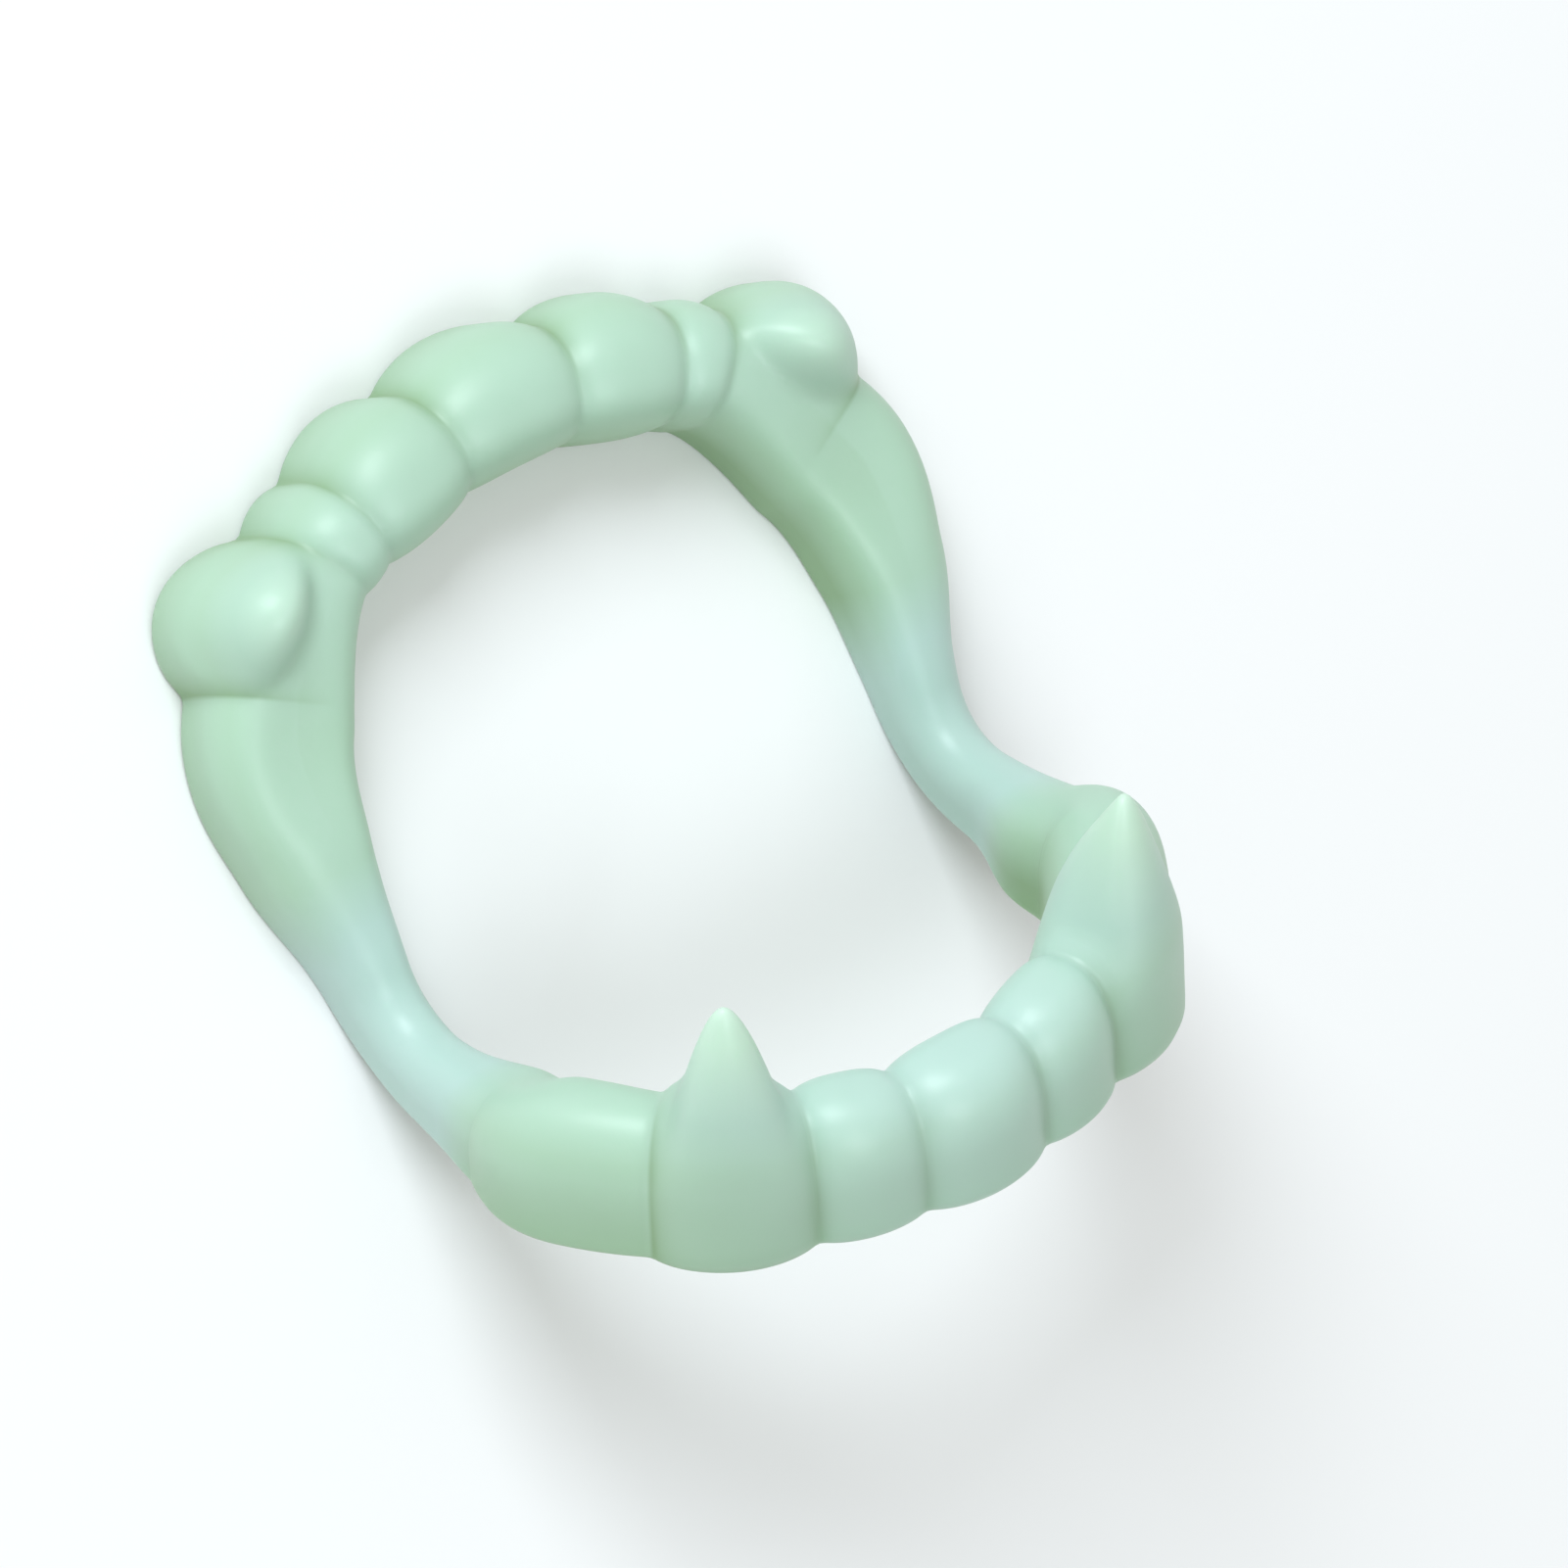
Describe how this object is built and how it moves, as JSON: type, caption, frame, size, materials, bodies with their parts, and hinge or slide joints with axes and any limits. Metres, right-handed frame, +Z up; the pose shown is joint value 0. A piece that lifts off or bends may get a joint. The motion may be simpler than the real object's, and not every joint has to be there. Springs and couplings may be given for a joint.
{
  "type": "vampire fang denture",
  "caption": "Novelty fang denture worn over the teeth: an upper and a lower toothed arch joined at the back by springy hinge bars, moulded in one piece",
  "frame": {"origin": "under the middle of the part's box, on the surface that the upper arch rests on", "axes": "+X across the jaw, -Y towards the upper front teeth, +Z up out of the upper arch's gum plane"},
  "size_m": [0.0434, 0.0474, 0.0272],
  "materials": {
    "soft_plastic": "pale mint green, satin, slightly translucent"
  },
  "bodies": {
    "root": {"fang_denture": "soft_plastic"}
  },
  "joints": []
}
